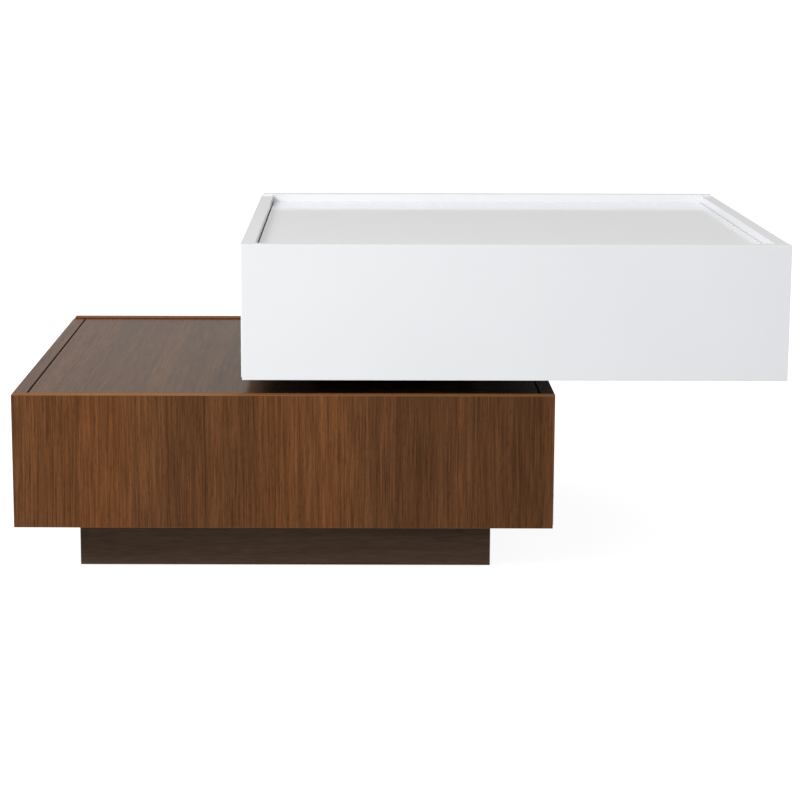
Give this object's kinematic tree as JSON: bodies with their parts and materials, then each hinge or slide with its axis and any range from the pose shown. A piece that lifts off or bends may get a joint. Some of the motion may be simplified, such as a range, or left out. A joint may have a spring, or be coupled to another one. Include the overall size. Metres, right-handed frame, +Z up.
{
  "type": "swivel coffee table",
  "caption": "Low square table of stacked drawer boxes on a set-back plinth: the white tray-topped upper box turns on a bearing over the walnut lower box.",
  "frame": {"origin": "on the floor on the swivel axis, which is also the middle of the swung-out table's footprint", "axes": "+X along the length, towards the swung-out upper box; +Y towards the rear panels; +Z up"},
  "size_m": [0.996, 0.7, 0.438],
  "materials": {
    "walnut_laminate": "satin walnut grain",
    "dark_walnut_laminate": "satin dark walnut grain",
    "white_lacquer": "satin white lacquer",
    "drawer_board": "matt melamine",
    "drawer_bottom_board": "matt lacquered board",
    "black_board": "black stained board",
    "black_steel": "black powder coat",
    "runner_steel": "zinc plated",
    "zinc_steel": "zinc plated",
    "bearing_steel": "polished",
    "nylon": "black moulded",
    "pine": "planed",
    "beech": "fluted",
    "clear_rubber": "soft clear"
  },
  "bodies": {
    "base": {"floor_glides": "nylon", "plinth_front": "dark_walnut_laminate", "plinth_rear": "dark_walnut_laminate", "plinth_left": "dark_walnut_laminate", "plinth_right": "dark_walnut_laminate", "plinth_corner_blocks": "pine", "plinth_screws": "zinc_steel", "lower_left_side": "walnut_laminate", "lower_right_side": "walnut_laminate", "lower_rear_panel": "walnut_laminate", "lower_bottom_panel": "black_board", "lower_top_panel": "walnut_laminate", "lower_top_cleats": "pine", "lower_dowels": "beech", "lower_carcass_screws": "zinc_steel", "lower_runner_outer_members": "runner_steel", "swivel_lower_plate": "black_steel", "swivel_lower_spacer": "black_board", "swivel_lower_screws": "zinc_steel", "swivel_pivot_bolt": "zinc_steel", "swivel_pivot_nut": "zinc_steel"},
    "ball_cage": {"swivel_ball_cage": "nylon", "swivel_balls": "bearing_steel"},
    "upper_box": {"upper_left_side": "white_lacquer", "upper_right_side": "white_lacquer", "upper_rear_panel": "white_lacquer", "upper_bottom_panel": "black_board", "upper_top_panel": "white_lacquer", "upper_top_cleats": "pine", "upper_dowels": "beech", "upper_carcass_screws": "zinc_steel", "upper_runner_outer_members": "runner_steel", "swivel_upper_plate": "black_steel", "swivel_upper_spacer": "black_board", "swivel_upper_screws": "zinc_steel", "swivel_bush": "nylon"},
    "lower_drawer": {"lower_drawer_front": "walnut_laminate", "lower_drawer_inner_front": "drawer_board", "lower_drawer_left_side": "drawer_board", "lower_drawer_right_side": "drawer_board", "lower_drawer_back": "drawer_board", "lower_drawer_bottom": "drawer_bottom_board", "lower_runner_inner_members": "runner_steel", "lower_drawer_dowels": "beech", "lower_drawer_screws": "zinc_steel", "lower_drawer_bumpers": "clear_rubber"},
    "lower_runner_slider": {"lower_runner_middle_members": "runner_steel"},
    "upper_drawer": {"upper_drawer_front": "white_lacquer", "upper_drawer_inner_front": "drawer_board", "upper_drawer_left_side": "drawer_board", "upper_drawer_right_side": "drawer_board", "upper_drawer_back": "drawer_board", "upper_drawer_bottom": "drawer_bottom_board", "upper_runner_inner_members": "runner_steel", "upper_drawer_dowels": "beech", "upper_drawer_screws": "zinc_steel", "upper_drawer_bumpers": "clear_rubber"},
    "upper_runner_slider": {"upper_runner_middle_members": "runner_steel"}
  },
  "joints": [
    {"name": "swivel", "type": "hinge", "parent": "base", "child": "upper_box", "pos_m": [0, 0, 0.26], "axis": [0, 0, 1], "continuous": true},
    {"name": "ball_cage_roll", "type": "hinge", "parent": "base", "child": "ball_cage", "pos_m": [0, 0, 0.26], "axis": [0, 0, 1], "continuous": true},
    {"name": "lower_drawer_slide", "type": "slide", "parent": "base", "child": "lower_drawer", "axis": [0, -1, 0], "range_m": [0, 0.45]},
    {"name": "lower_runner_slide", "type": "slide", "parent": "base", "child": "lower_runner_slider", "axis": [0, -1, 0], "range_m": [0, 0.225]},
    {"name": "upper_drawer_slide", "type": "slide", "parent": "upper_box", "child": "upper_drawer", "axis": [0, -1, 0], "range_m": [0, 0.45]},
    {"name": "upper_runner_slide", "type": "slide", "parent": "upper_box", "child": "upper_runner_slider", "axis": [0, -1, 0], "range_m": [0, 0.225]}
  ],
  "couplings": [
    {"joint": "ball_cage_roll", "follows": "swivel", "ratio": 0.5},
    {"joint": "lower_runner_slide", "follows": "lower_drawer_slide", "ratio": 0.5},
    {"joint": "upper_runner_slide", "follows": "upper_drawer_slide", "ratio": 0.5}
  ]
}
